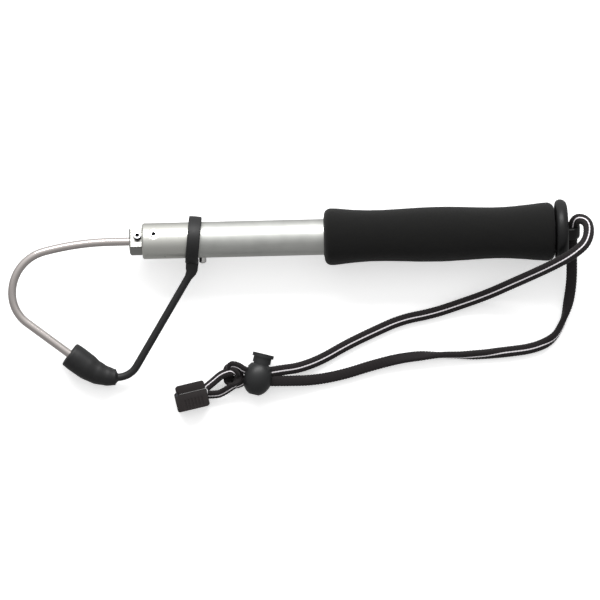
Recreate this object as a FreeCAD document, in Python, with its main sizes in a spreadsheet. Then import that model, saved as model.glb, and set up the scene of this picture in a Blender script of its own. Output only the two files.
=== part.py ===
"""Telescopic gaff: steel hook with a rubber point guard, two-section alloy pole, foam grip and wrist cord.

Frame: the origin is on the pole axis at the middle of the bare tube, +X runs along the pole towards the
grip, +Z is up, and the hook bends towards -Y. The closed gaff lies on a flat surface at z = -flange_r,
rolled about the pole axis by lie_roll so that the point guard rests on that surface too. Millimetres.
"""
import FreeCAD, Part
import math
import os
import Sketcher
from FreeCAD import Placement, Rotation, Vector

SIZES = {
    # pole
    "tube_d": 22.0, "tube_wall": 1.0, "mouth_x": -41.7, "tube_end_x": 178.3,
    "drill_start_r": 13.0, "inner_d": 18.0, "inner_wall": 1.0, "inner_front_x": -71.7, "inner_back_x": 168.0,
    "slide_travel": 180.0, "running_gap": 0.05, "mouth_bush_long": 12.0, "back_bush_long": 16.0,
    "lie_roll": 8.6,
    # collar and hook block
    "collar_front_x": -73.8, "collar_gap": 0.1, "collar_bevel": 0.8,
    "block_front_x": -81.8, "block_back_x": -74.2, "block_side": 12.9, "block_turn": 32.4,
    "block_bevel": 0.9, "spigot_d": 15.9, "spigot_end_x": -56.0,
    # clamp screws
    "clamp_screw_x": -76.7, "clamp_screw_d": 4.7, "clamp_screw_top": 9.1,
    "collar_screw_x": -66.7, "collar_screw_d": 4.4, "collar_screw_top": 10.6, "sink_d": 7.2,
    "sink_deep": 0.8, "socket_across": 2.5, "socket_deep": 1.8, "screw_foot": 3.2, "thread_relief": 0.1,
    # hook
    "rod_d": 5.0, "hook_start_x": -60.0, "shank_long": 33.6,
    "bend_a_r": 169.4, "bend_a_turn": 14.0, "bend_b_r": 26.7, "bend_b_turn": 79.1,
    "bend_c_r": 22.7, "bend_c_turn": 48.8, "barb_run": 38.65, "point_long": 14.0, "point_tip_r": 0.15,
    # snap buttons
    "button_x": -37.2, "button_d": 4.4, "button_tip_r": 14.6, "button_head_d": 6.4,
    "button_head_r": 7.2, "button_head_thick": 1.0, "button_hole_d": 5.2, "inner_hole_d": 4.7,
    "button_shoulder": 1.0, "button_dome": 0.25, "stowed_tip_r": 9.8, "spring_thick": 0.5,
    "spring_wide": 5.0, "spring_leg": 24.0, "spring_nose": 3.0, "spring_far_r": 7.5,
    "spring_contact_gap": 0.05, "stowed_spring_back": 20.0,
    # point guard
    "ring_wide": 7.8, "ring_outer_r": 14.8, "ring_inner_r": 11.35, "ring_x": -42.6, "ring_lean": 6.4,
    "cap_mouth_x": -120.77, "cap_mouth_y": -68.81, "cap_heading": -38.07, "cap_bore_gap": 0.1,
    "cap_bore_deep": 24.8, "tip_room": 1.5, "guard_run": 14.32, "guard_bend_a_r": 30.6,
    "guard_bend_a_turn": 35.0,
    "guard_bend_b_r": 13.8, "guard_bend_b_turn": 61.6, "strap_run": 64.6, "strap_d": 4.6,
    "cap_long": 33.0, "strap_gap": 0.1, "band_blank": 60.0,
    # grip and end cap
    "grip_front_x": 37.6, "grip_back_x": 178.5, "grip_bore_d": 22.0, "grip_end_r": 17.4,
    "grip_waist_front_x": 68.0, "grip_waist_front_r": 15.7, "grip_belly_x": 109.0, "grip_belly_r": 16.8,
    "grip_waist_back_x": 141.0, "grip_waist_back_r": 15.7, "grip_heel_r": 17.8,
    "grip_front_round": 4.0, "grip_back_round": 4.5,
    "flange_front_x": 179.0, "flange_back_x": 186.5, "flange_r": 19.6, "plug_front_x": 170.0,
    "rim_front_round": 2.4, "rim_back_round": 2.8,
    "lug_x": 189.6, "lug_outer_r": 4.7, "lug_wide": 8.0, "lug_bore_d": 5.8, "cap_turn": 35.0,
    # wrist cord
    "cord_d": 5.2,
    # cord lock
    "lock_x": -5.3, "lock_y": -85.6, "lock_r": 9.0, "lock_long": 21.0, "lock_turn": -15.0,
    "lock_bore_d": 11.6, "lock_floor": -7.3, "well_d": 6.8, "well_floor": -9.6, "plunger_d": 11.2,
    "plunger_cap_d": 13.3, "plunger_foot": -3.4, "plunger_top": 15.2, "plunger_cap_base": 13.0,
    "slot_low": -2.4, "slot_high": 5.6, "slot_thick": 5.6, "slot_half": 20.0, "cross_low": 0.4,
    "cross_high": 9.4, "egg_trim": 0.6,
    "pinch_low": 0.5, "pinch_high": 5.5, "pinch_thick": 5.0, "pinch_half": 9.6,
    "spring_coil_r": 2.6, "spring_wire_d": 0.6, "spring_coils": 3.0, "corners_per_coil": 8.0,
    # knot and cord end
    "knot_x": -20.2, "knot_y": -84.2, "knot_half_x": 6.4, "knot_half_y": 8.0, "knot_half_z": 6.2,
    "end_x": -46.6, "end_y": -96.0, "end_turn": 12.0, "end_long": 20.0, "end_body_wide": 10.6,
    "end_lid_wide": 5.2, "end_tall": 10.4, "end_seam_gap": 0.3, "end_round": 1.6, "end_pin_d": 1.6,
    "knuckle_r": 1.5, "knuckle_gap": 0.3, "knuckle_long": 3.0, "knuckle_play": 0.2, "lid_relief": 0.6,
}

# Sections of the guard's tab, from inside the ring's wall to the strap: y, x, half width, half thickness.
GUARD_TAB = [(-12.0, -43.8, 3.8, 3.4), (-16.5, -44.4, 3.6, 3.2), (-21.4, -45.6, 2.5, 2.4)]

# Outer radii of the guard's cap at distances from its mouth, along its centre line; the last is at cap_long.
GUARD_CAP = [(0.0, 8.0), (5.0, 8.2), (12.5, 8.05), (20.0, 7.1), (27.0, 6.0), (33.0, 4.9)]

# Centre points of the free cord, in the resting frame. Both strands start in the middle of the lug's bore.
STRAND_UPPER = [
    (189.6, 0.0, 0.0), (190.4, 8.2, 5.7), (199.2, 5.8, 10.6), (198.4, -6.4, 16.4), (188.6, -14.4, 20.4),
    (177.0, -20.4, 18.4), (166.0, -25.4, 9.6), (152.0, -31.4, -2.4), (137.0, -37.8, -11.4),
    (120.0, -43.4, -16.0), (103.0, -48.6, -17.0), (84.0, -51.8, -17.0), (66.0, -59.4, -17.0),
    (50.0, -66.6, -17.0), (34.0, -75.4, -17.0), (20.0, -80.2, -15.4), (9.0, -81.2, -11.8),
    (2.8, -82.2, -10.6),
]
STRAND_LOWER = [
    (189.6, 0.0, 0.0), (189.5, -7.6, -5.3), (189.4, -18.0, -8.2), (189.3, -30.0, -11.2),
    (187.4, -43.0, -14.4), (183.6, -56.0, -16.6), (177.2, -66.4, -17.0), (165.0, -71.6, -17.0),
    (148.0, -73.4, -17.0), (128.0, -75.0, -17.0), (106.0, -74.0, -17.0), (86.0, -75.0, -17.0), (66.0, -79.4, -17.0),
    (48.0, -84.8, -17.0), (30.0, -87.9, -16.4), (14.0, -88.0, -12.6), (1.4, -87.6, -10.6),
]
TAIL_UPPER = [(-23.0, -81.6, -12.6), (-28.0, -83.2, -14.0), (-32.0, -86.8, -14.6), (-35.4, -90.2, -14.6)]
TAIL_LOWER = [(-20.5, -90.0, -13.6), (-25.0, -93.8, -14.6), (-30.0, -95.6, -14.6), (-34.4, -95.6, -14.6)]


class Size:
    """A number together with the spreadsheet expression that gives it."""

    def __init__(self, value, text):
        self.value = value
        self.text = text

    def _join(self, sign, other, result):
        text = other.text if isinstance(other, Size) else repr(other)
        return Size(result, f"({self.text} {sign} {text})")

    def __add__(self, other):
        return self._join("+", other, self.value + number(other))

    def __sub__(self, other):
        return self._join("-", other, self.value - number(other))

    def __mul__(self, other):
        return self._join("*", other, self.value * number(other))

    def __truediv__(self, other):
        return self._join("/", other, self.value / number(other))

    def __neg__(self):
        return self * -1


def number(size):
    return size.value if isinstance(size, Size) else float(size)


def size_of(alias):
    return Size(SIZES[alias], "Sizes." + alias)


doc = FreeCAD.newDocument("gaff")
sheet = doc.addObject("Spreadsheet::Sheet", "Sizes")
for row, (alias, millimetres) in enumerate(SIZES.items(), start=1):
    sheet.set(f"A{row}", str(millimetres))
    sheet.setAlias(f"A{row}", alias)
doc.recompute()

LEAST_CUT = 0.05
X_AXIS = Vector(1, 0, 0)
Z_AXIS = Vector(0, 0, 1)
TOWARDS_HOOK = -90
SOCKET_TURN = 10
DOME_SHARE = 0.62
ARC_SHARE = 1 - math.sqrt(0.5)
pieces = {}


def bind(thing, **sizes):
    """Set properties of an object from sizes and bind each of them to the spreadsheet."""
    for name, size in sizes.items():
        setattr(thing, name, number(size))
        if isinstance(size, Size):
            thing.setExpression(name, size.text)


def finish(thing, label, turn=None):
    """Name a sub-part and, where the gaff's own roll or another turn about X applies, place it."""
    thing.Label = label
    if turn is not None:
        thing.Placement = Placement(Vector(), Rotation(X_AXIS, turn.value))
        thing.setExpression("Placement.Rotation.Angle", turn.text)
    pieces[label] = thing
    return thing


def new_body(label):
    return doc.addObject("PartDesign::Body", label + "_body")


def new_sketch(body, role, offset=Placement(), name="outline"):
    sketch = body.newObject("Sketcher::SketchObject", body.Name + "_" + name)
    plane = next(item for item in body.Origin.OriginFeatures if item.Role == role)
    sketch.AttachmentSupport = [(plane, "")]
    sketch.MapMode = "FlatFace"
    sketch.AttachmentOffset = offset
    return sketch


def fix(sketch, kind, *where, size):
    """Add one driving constraint whose value follows the spreadsheet."""
    index = sketch.addConstraint(Sketcher.Constraint(kind, *where, number(size)))
    if isinstance(size, Size):
        sketch.setExpression(f"Constraints[{index}]", size.text)


def outline(sketch, corners):
    """Draw a closed polygon through (x, y) sizes; a y of 0 puts the corner on the turning axis."""
    flat = [Vector(number(x), number(y), 0) for x, y in corners]
    count = len(flat)
    for index in range(count):
        sketch.addGeometry(Part.LineSegment(flat[index], flat[(index + 1) % count]), False)
    for index in range(count):
        sketch.addConstraint(Sketcher.Constraint("Coincident", index, 2, (index + 1) % count, 1))
    for index, (x, y) in enumerate(corners):
        fix(sketch, "DistanceX", -1, 1, index, 1, size=x)
        if number(y) == 0:
            sketch.addConstraint(Sketcher.Constraint("PointOnObject", index, 1, -1))
        else:
            fix(sketch, "DistanceY", -1, 1, index, 1, size=y)


def circle(sketch, radius, x=0, y=0):
    index = sketch.addGeometry(Part.Circle(Vector(number(x), number(y), 0), Z_AXIS, number(radius)), False)
    fix(sketch, "Radius", index, size=radius)
    if number(x) == 0 and number(y) == 0:
        sketch.addConstraint(Sketcher.Constraint("Coincident", index, 3, -1, 1))
    else:
        fix(sketch, "DistanceX", -1, 1, index, 3, size=x)
        fix(sketch, "DistanceY", -1, 1, index, 3, size=y)


def turned(label, corners):
    """A body turned about the pole axis from its half outline."""
    body = new_body(label)
    sketch = new_sketch(body, "XY_Plane")
    outline(sketch, corners)
    turn = body.newObject("PartDesign::Revolution", label + "_turning")
    turn.Profile = sketch
    turn.ReferenceAxis = (sketch, ["H_Axis"])
    turn.Angle = 360
    doc.recompute()
    return body


def sleeve(label, front, back, outer_r, inner_r, bevel=None):
    """A turned tube; bevel chamfers its front outer edge."""
    rim = [(front, outer_r)] if bevel is None else [(front, outer_r - bevel), (front + bevel, outer_r)]
    return turned(label, [(front, inner_r)] + rim + [(back, outer_r), (back, inner_r)])


def facing(x, turn, radius):
    """The placement of a sketch that looks along a radius, turned from +Z towards +Y."""
    angle = math.radians(turn)
    where = Vector(x, radius * math.sin(angle), radius * math.cos(angle))
    return Placement(where, Rotation(X_AXIS, -turn))


def drill(body, name, x, turn, end_r, diameter):
    """Cut a round hole inwards along a radius from outside the pole, and make sure that it cuts."""
    before = body.Shape.Volume
    start_r = size_of("drill_start_r")
    sketch = new_sketch(body, "XY_Plane", facing(number(x), number(turn), number(start_r)), name)
    sketch.setExpression("AttachmentOffset.Base.x", x.text)
    circle(sketch, diameter / 2)
    hole = body.newObject("PartDesign::Pocket", body.Name + "_" + name + "_cut")
    hole.Profile = sketch
    bind(hole, Length=start_r - end_r)
    doc.recompute()
    if not body.Shape.Volume < before - LEAST_CUT:
        raise ValueError(name + " cuts nothing")


def chain_points(start, heading, runs):
    """Walk straight runs and left-hand arcs; return each edge's curve and the end point and heading."""
    here = Vector(*start)
    angle = math.radians(heading)
    curves = []
    for kind, *amounts in runs:
        if kind == "line":
            there = here + Vector(math.cos(angle), math.sin(angle), 0) * number(amounts[0])
            curves.append(Part.LineSegment(here, there))
        else:
            radius = number(amounts[0])
            centre = here + Vector(-math.sin(angle), math.cos(angle), 0) * radius
            first = angle - math.pi / 2
            angle += math.radians(number(amounts[1]))
            ring = Part.Circle(centre, Z_AXIS, radius)
            curves.append(Part.ArcOfCircle(ring, first, angle - math.pi / 2))
            there = centre + Vector(math.sin(angle), -math.cos(angle), 0) * radius
        here = there
    return curves, here, math.degrees(angle)


def cylinder(name, radius, height, place):
    thing = doc.addObject("Part::Cylinder", name)
    bind(thing, Radius=radius, Height=height)
    thing.Placement = place
    return thing


def along(start, direction):
    """A placement whose Z axis points along a direction."""
    return Placement(Vector(*start), Rotation(Z_AXIS, Vector(*direction)))


def boolean(kind, name, base, tool):
    thing = doc.addObject(kind, name)
    thing.Base = base
    thing.Tool = tool
    doc.recompute()
    return thing


roll = size_of("lie_roll")


# ---------------------------------------------------------------- pole
def make_outer_tube():
    """Outer section, 22 mm alloy tube; one hole on the hook's side takes either snap button."""
    body = sleeve("outer_tube", size_of("mouth_x"), size_of("tube_end_x"), size_of("tube_d") / 2,
                  size_of("tube_d") / 2 - size_of("tube_wall"))
    drill(body, "button_hole", size_of("button_x"), TOWARDS_HOOK, size_of("inner_d") / 2,
          size_of("button_hole_d"))
    finish(body, "outer_tube", roll)


def make_mouth_bush():
    """Plastic guide pressed into the outer section's mouth; the inner section runs in it."""
    front = size_of("mouth_x")
    body = sleeve("mouth_bush", front, front + size_of("mouth_bush_long"),
                  size_of("tube_d") / 2 - size_of("tube_wall"),
                  size_of("inner_d") / 2 + size_of("running_gap"))
    drill(body, "button_hole", size_of("button_x"), TOWARDS_HOOK, size_of("spigot_d") / 2,
          size_of("button_hole_d"))
    finish(body, "mouth_bush", roll)


def make_inner_tube():
    """Inner section, 18 mm alloy tube, with a hole for each snap button and one for the collar screw."""
    outer_r = size_of("inner_d") / 2
    body = sleeve("inner_tube", size_of("inner_front_x"), size_of("inner_back_x"), outer_r,
                  outer_r - size_of("inner_wall"))
    back_button_x = size_of("button_x") + size_of("slide_travel")
    for name, x in (("front_hole", size_of("button_x")), ("back_hole", back_button_x)):
        drill(body, name, x, TOWARDS_HOOK, size_of("button_head_r"), size_of("inner_hole_d"))
    drill(body, "screw_hole", size_of("collar_screw_x"), size_of("block_turn"), size_of("button_head_r"),
          size_of("collar_screw_d"))
    finish(body, "inner_tube", roll)


def make_back_bush():
    """Plastic guide on the inner section's back end, running in the outer section's bore."""
    back = size_of("inner_back_x")
    body = sleeve("inner_back_bush", back - size_of("back_bush_long"), back,
                  size_of("tube_d") / 2 - size_of("tube_wall") - size_of("running_gap"),
                  size_of("inner_d") / 2)
    finish(body, "inner_back_bush", roll)


# ---------------------------------------------------------------- collar, block and their screws
def make_front_collar():
    """Turned alloy collar on the inner section's front end, as wide as the outer section."""
    outer_r = size_of("tube_d") / 2
    body = sleeve("front_collar", size_of("collar_front_x"), size_of("mouth_x") - size_of("collar_gap"),
                  outer_r, size_of("inner_d") / 2, size_of("collar_bevel"))
    x = size_of("collar_screw_x")
    turn = size_of("block_turn")
    drill(body, "screw_hole", x, turn, size_of("button_head_r"), size_of("collar_screw_d"))
    drill(body, "screw_sink", x, turn, outer_r - size_of("sink_deep"), size_of("sink_d"))
    finish(body, "front_collar", roll)


def make_hook_block():
    """Square alloy block with a round spigot in the inner section; the hook's shank is clamped in it."""
    body = new_body("hook_block")
    half = size_of("block_side") / 2
    turned_square = Rotation(Z_AXIS, -SIZES["block_turn"])
    square = new_sketch(body, "YZ_Plane", Placement(Vector(0, 0, SIZES["block_front_x"]), turned_square))
    square.setExpression("AttachmentOffset.Base.z", "Sizes.block_front_x")
    outline(square, [(-half, -half), (half, -half), (half, half), (-half, half)])
    head = body.newObject("PartDesign::Pad", "hook_block_head")
    head.Profile = square
    bind(head, Length=size_of("block_back_x") - size_of("block_front_x"))
    spigot_sketch = new_sketch(body, "YZ_Plane", Placement(Vector(0, 0, SIZES["block_back_x"]), Rotation()),
                               "spigot")
    spigot_sketch.setExpression("AttachmentOffset.Base.z", "Sizes.block_back_x")
    circle(spigot_sketch, size_of("spigot_d") / 2)
    spigot = body.newObject("PartDesign::Pad", "hook_block_spigot")
    spigot.Profile = spigot_sketch
    bind(spigot, Length=size_of("spigot_end_x") - size_of("block_back_x"))
    doc.recompute()
    front_edges = []
    for index, edge in enumerate(spigot.Shape.Edges, start=1):
        if edge.BoundBox.XMax < SIZES["block_front_x"] + 0.01:
            front_edges.append(f"Edge{index}")
    bevel = body.newObject("PartDesign::Chamfer", "hook_block_bevel")
    bevel.Base = (spigot, front_edges)
    bind(bevel, Size=size_of("block_bevel"))
    doc.recompute()
    before = body.Shape.Volume
    shank_end = Placement(Vector(0, 0, SIZES["hook_start_x"]), Rotation())
    shank_sketch = new_sketch(body, "YZ_Plane", shank_end, "shank_hole")
    circle(shank_sketch, size_of("rod_d") / 2)
    shank_hole = body.newObject("PartDesign::Pocket", "hook_block_shank_hole")
    shank_hole.Profile = shank_sketch
    bind(shank_hole, Length=size_of("hook_start_x") - size_of("block_front_x") + 1)
    doc.recompute()
    if not body.Shape.Volume < before - 1:
        raise ValueError("the shank hole cuts nothing")
    turn = size_of("block_turn")
    drill(body, "clamp_hole", size_of("clamp_screw_x"), turn, size_of("rod_d") / 2,
          size_of("clamp_screw_d"))
    drill(body, "collar_screw_hole", size_of("collar_screw_x"), turn,
          size_of("screw_foot") - size_of("thread_relief"), size_of("collar_screw_d"))
    finish(body, "hook_block", roll)


def make_screw(label, x_alias, diameter, top, foot):
    """A socket screw along the radius of the block's turned face."""
    body = new_body(label)
    turn = SIZES["block_turn"]
    foot_sketch = new_sketch(body, "XY_Plane", facing(SIZES[x_alias], turn, number(foot)), "foot")
    foot_sketch.setExpression("AttachmentOffset.Base.x", "Sizes." + x_alias)
    circle(foot_sketch, diameter / 2)
    shank = body.newObject("PartDesign::Pad", label + "_shank")
    shank.Profile = foot_sketch
    bind(shank, Length=top - foot)
    doc.recompute()
    before = body.Shape.Volume
    socket_sketch = new_sketch(body, "XY_Plane", facing(SIZES[x_alias], turn, number(top)), "socket")
    socket_sketch.setExpression("AttachmentOffset.Base.x", "Sizes." + x_alias)
    corner = size_of("socket_across") / math.sqrt(3)
    hexagon = [math.radians(60 * side + SOCKET_TURN) for side in range(6)]
    outline(socket_sketch, [(corner * math.cos(angle), corner * math.sin(angle)) for angle in hexagon])
    socket = body.newObject("PartDesign::Pocket", label + "_socket")
    socket.Profile = socket_sketch
    bind(socket, Length=size_of("socket_deep"))
    doc.recompute()
    if not body.Shape.Volume < before - 0.5:
        raise ValueError(label + " has no socket")
    finish(body, label, roll)


# ---------------------------------------------------------------- hook
def hook_runs():
    return [("line", size_of("shank_long")),
            ("arc", size_of("bend_a_r"), size_of("bend_a_turn")),
            ("arc", size_of("bend_b_r"), size_of("bend_b_turn")),
            ("arc", size_of("bend_c_r"), size_of("bend_c_turn")),
            ("line", size_of("barb_run"))]


def make_hook():
    """5 mm stainless rod bent in three arcs, with a long ground point."""
    curves, end, heading = chain_points([SIZES["hook_start_x"], 0, 0], 180, hook_runs())
    spine = doc.addObject("Part::Feature", "hook_centre_line")
    spine.Shape = Part.Wire([curve.toShape() for curve in curves])
    section = doc.addObject("Part::Circle", "hook_section")
    bind(section, Radius=size_of("rod_d") / 2)
    section.Placement = along([SIZES["hook_start_x"], 0, 0], [-1, 0, 0])
    doc.recompute()
    rod = doc.addObject("Part::Sweep", "hook_rod")
    rod.Sections = [section]
    rod.Spine = (spine, ["Edge%d" % (index + 1) for index in range(len(curves))])
    rod.Solid = True
    rod.Frenet = False
    point = doc.addObject("Part::Cone", "hook_point")
    bind(point, Radius1=size_of("rod_d") / 2, Radius2=size_of("point_tip_r"), Height=size_of("point_long"))
    direction = [math.cos(math.radians(heading)), math.sin(math.radians(heading)), 0]
    point.Placement = along(end, direction)
    doc.recompute()
    finish(boolean("Part::Fuse", "hook_joined", rod, point), "hook", roll)


# ---------------------------------------------------------------- snap buttons
def make_button(label, x, tip_r):
    """Domed steel pin through the inner section's wall, with a wide head inside the bore."""
    head_r = size_of("button_head_r") - (size_of("button_tip_r") - tip_r)
    body = new_body(label)
    sketch = new_sketch(body, "XY_Plane")
    pin_r = size_of("button_d") / 2
    wide_r = size_of("button_head_d") / 2
    foot = -(head_r - size_of("button_head_thick"))
    outline(sketch, [(x, foot), (x + wide_r, foot), (x + wide_r, -head_r), (x + pin_r, -head_r),
                     (x + pin_r, -(tip_r - size_of("button_shoulder"))),
                     (x + pin_r * DOME_SHARE, -(tip_r - size_of("button_dome"))), (x, -tip_r)])
    turn = body.newObject("PartDesign::Revolution", label + "_turning")
    turn.Profile = sketch
    turn.ReferenceAxis = (sketch, ["Edge7"])
    turn.Angle = 360
    doc.recompute()
    finish(body, label, roll)


def make_button_spring(label, x, head_r):
    """V spring of steel strip: one leg presses the button's head, the other lies on the far wall."""
    body = new_body(label)
    sketch = new_sketch(body, "XY_Plane")
    thick = size_of("spring_thick")
    far = size_of("spring_far_r")
    near = head_r - size_of("button_head_thick") - size_of("spring_contact_gap")
    tail = x + size_of("spring_leg")
    nose = x - size_of("spring_nose")
    outline(sketch, [(nose, -near), (nose, -(near - thick)), (tail - thick * 2, far - thick * 3),
                     (nose, far - thick), (nose, far), (tail, far), (tail, far - thick * 4)])
    strip = body.newObject("PartDesign::Pad", label + "_strip")
    strip.Profile = sketch
    strip.SideType = "Symmetric"
    bind(strip, Length=size_of("spring_wide"))
    doc.recompute()
    finish(body, label, roll)


# ---------------------------------------------------------------- point guard
def guard_runs():
    return [("line", size_of("guard_run")),
            ("arc", size_of("guard_bend_a_r"), size_of("guard_bend_a_turn")),
            ("arc", size_of("guard_bend_b_r"), size_of("guard_bend_b_turn")),
            ("line", size_of("strap_run"))]


def guard_station(length):
    """Point and heading at a distance along the guard's centre line, from the mouth of the cap."""
    start = [SIZES["cap_mouth_x"], SIZES["cap_mouth_y"], 0]
    if length == 0:
        return Vector(*start), SIZES["cap_heading"]
    left = length
    passed = []
    for run in guard_runs():
        if run[0] == "line":
            whole = number(run[1])
            part = ("line", min(left, whole))
        else:
            whole = math.radians(number(run[2])) * number(run[1])
            part = ("arc", number(run[1]), min(1.0, left / whole) * number(run[2]))
        passed.append(part)
        left -= whole
        if left <= 0:
            break
    return chain_points(start, SIZES["cap_heading"], passed)[1:]


def make_guard_ring():
    """Rubber band around the joint of collar and tube, with a tapering tab towards the strap."""
    whole = sleeve("guard_band", size_of("ring_x") - size_of("ring_wide"),
                   size_of("ring_x") + size_of("ring_wide"), size_of("ring_outer_r"), size_of("ring_inner_r"))
    slab = doc.addObject("Part::Box", "guard_band_slab")
    bind(slab, Length=size_of("ring_wide"), Width=size_of("band_blank"), Height=size_of("band_blank"))
    lean = Rotation(Z_AXIS, -SIZES["ring_lean"])
    corner = Vector(-SIZES["ring_wide"] / 2, -SIZES["band_blank"] / 2, -SIZES["band_blank"] / 2)
    slab.Placement = Placement(Vector(SIZES["ring_x"], 0, 0) + lean.multVec(corner), lean)
    band = boolean("Part::Common", "guard_band_leaning", whole, slab)
    sections = []
    for y, x, half_x, half_z in GUARD_TAB:
        oval = doc.addObject("Part::Ellipse", "guard_tab_section")
        oval.MajorRadius = half_x
        oval.MinorRadius = half_z
        oval.Placement = Placement(Vector(x, y, 0), Rotation(X_AXIS, 90))
        sections.append(oval)
    doc.recompute()
    tab = doc.addObject("Part::Loft", "guard_tab")
    tab.Sections = sections
    tab.Solid = True
    doc.recompute()
    finish(boolean("Part::Fuse", "guard_ring_joined", band, tab), "guard_ring", roll)


def make_guard_strap():
    """Solid rubber strap from the cap's nose, round its bend and straight to the ring's tab."""
    first = SIZES["cap_long"] + SIZES["strap_gap"]
    start, heading = guard_station(first)
    bend_a = math.radians(SIZES["guard_bend_a_turn"]) * SIZES["guard_bend_a_r"]
    bend_a_left = SIZES["guard_run"] + bend_a - first
    runs = [("arc", size_of("guard_bend_a_r"), math.degrees(bend_a_left / SIZES["guard_bend_a_r"])),
            ("arc", size_of("guard_bend_b_r"), size_of("guard_bend_b_turn")),
            ("line", size_of("strap_run"))]
    if bend_a_left <= 0:
        turn = SIZES["guard_bend_b_turn"] + math.degrees(bend_a_left / SIZES["guard_bend_b_r"])
        runs = [("arc", size_of("guard_bend_b_r"), turn), ("line", size_of("strap_run"))]
    curves = chain_points(start, heading, runs)[0]
    spine = doc.addObject("Part::Feature", "strap_centre_line")
    spine.Shape = Part.Wire([curve.toShape() for curve in curves])
    section = doc.addObject("Part::Circle", "strap_section")
    bind(section, Radius=size_of("strap_d") / 2)
    angle = math.radians(heading)
    section.Placement = along(start, [math.cos(angle), math.sin(angle), 0])
    doc.recompute()
    strap = doc.addObject("Part::Sweep", "strap_sweep")
    strap.Sections = [section]
    strap.Spine = (spine, ["Edge%d" % (index + 1) for index in range(len(curves))])
    strap.Solid = True
    doc.recompute()
    finish(strap, "guard_strap", roll)


def make_guard_cap():
    """Moulded rubber cap over the hook's point: a round sleeve that bends and narrows to the strap."""
    sections = []
    for length, radius in GUARD_CAP:
        where, heading = guard_station(length)
        ring = doc.addObject("Part::Circle", "guard_cap_section")
        ring.Radius = radius
        angle = math.radians(heading)
        ring.Placement = along(where, [math.cos(angle), math.sin(angle), 0])
        sections.append(ring)
    doc.recompute()
    skin = doc.addObject("Part::Loft", "guard_cap_skin")
    skin.Sections = sections
    skin.Solid = True
    doc.recompute()
    angle = math.radians(SIZES["cap_heading"])
    direction = Vector(math.cos(angle), math.sin(angle), 0)
    rod_line = chain_points([SIZES["hook_start_x"], 0, 0], 180, hook_runs())[1]
    tip = rod_line + direction * SIZES["point_long"]
    bore_start = tip - direction * SIZES["cap_bore_deep"]
    bore = cylinder("guard_cap_bore", size_of("rod_d") / 2 + size_of("cap_bore_gap"),
                    size_of("cap_bore_deep") + size_of("tip_room"), along(bore_start, direction))
    finish(boolean("Part::Cut", "guard_cap_cut", skin, bore), "guard_cap", roll)


# ---------------------------------------------------------------- grip and end cap
def make_foam_grip():
    """Closed-cell foam sleeve, waisted twice, with rounded ends."""
    front, back = SIZES["grip_front_x"], SIZES["grip_back_x"]
    bore_r = SIZES["grip_bore_d"] / 2
    front_round, back_round = SIZES["grip_front_round"], SIZES["grip_back_round"]
    end_r, heel_r = SIZES["grip_end_r"], SIZES["grip_heel_r"]
    crown = [(front + front_round, end_r), (SIZES["grip_waist_front_x"], SIZES["grip_waist_front_r"]),
             (SIZES["grip_belly_x"], SIZES["grip_belly_r"]),
             (SIZES["grip_waist_back_x"], SIZES["grip_waist_back_r"]), (back - back_round, heel_r)]
    curve = Part.BSplineCurve()
    curve.interpolate([Vector(x, y, 0) for x, y in crown])
    low_front = Vector(front, end_r - front_round, 0)
    mid_front = Vector(front + front_round * ARC_SHARE, end_r - front_round * ARC_SHARE, 0)
    mid_back = Vector(back - back_round * ARC_SHARE, heel_r - back_round * ARC_SHARE, 0)
    low_back = Vector(back, heel_r - back_round, 0)
    edges = [Part.LineSegment(Vector(front, bore_r, 0), low_front),
             Part.Arc(low_front, mid_front, curve.StartPoint), curve,
             Part.Arc(curve.EndPoint, mid_back, low_back),
             Part.LineSegment(low_back, Vector(back, bore_r, 0)),
             Part.LineSegment(Vector(back, bore_r, 0), Vector(front, bore_r, 0))]
    face = Part.Face(Part.Wire([edge.toShape() for edge in edges]))
    grip = doc.addObject("Part::Feature", "foam_grip_turned")
    grip.Shape = face.revolve(Vector(), X_AXIS, 360)
    finish(grip, "foam_grip", roll)


def make_end_cap():
    """Moulded end cap: a plug in the tube, a round-rimmed flange and an eye for the wrist cord."""
    front, back = size_of("flange_front_x"), size_of("flange_back_x")
    flange_r = size_of("flange_r")
    bore_r = size_of("tube_d") / 2 - size_of("tube_wall")
    front_round, back_round = size_of("rim_front_round"), size_of("rim_back_round")
    plug = turned("end_cap_turned", [
        (size_of("plug_front_x"), 0), (size_of("plug_front_x"), bore_r), (front, bore_r),
        (front, flange_r - front_round),
        (front + front_round * ARC_SHARE, flange_r - front_round * ARC_SHARE),
        (front + front_round, flange_r), (back - back_round, flange_r),
        (back - back_round * ARC_SHARE, flange_r - back_round * ARC_SHARE),
        (back, flange_r - back_round), (back, 0)])
    eye_x = size_of("lug_x")
    half = SIZES["lug_wide"] / 2
    eye = cylinder("eye_round", size_of("lug_outer_r"), size_of("lug_wide"),
                   along([eye_x.value, -half, 0], [0, 1, 0]))
    neck = doc.addObject("Part::Box", "eye_neck")
    bind(neck, Length=eye_x - front, Width=size_of("lug_wide"), Height=size_of("lug_outer_r") * 2)
    neck.Placement = Placement(Vector(front.value, -half, -SIZES["lug_outer_r"]), Rotation())
    bore = cylinder("eye_bore", size_of("lug_bore_d") / 2, size_of("lug_wide") * 3,
                    along([eye_x.value, -half * 3, 0], [0, 1, 0]))
    lug = boolean("Part::Fuse", "eye_joined", neck, eye)
    solid = boolean("Part::Fuse", "end_cap_joined", plug, lug)
    finish(boolean("Part::Cut", "end_cap_cut", solid, bore), "end_cap", size_of("cap_turn"))


# ---------------------------------------------------------------- wrist cord
ARC_REACH = 0.45


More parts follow.
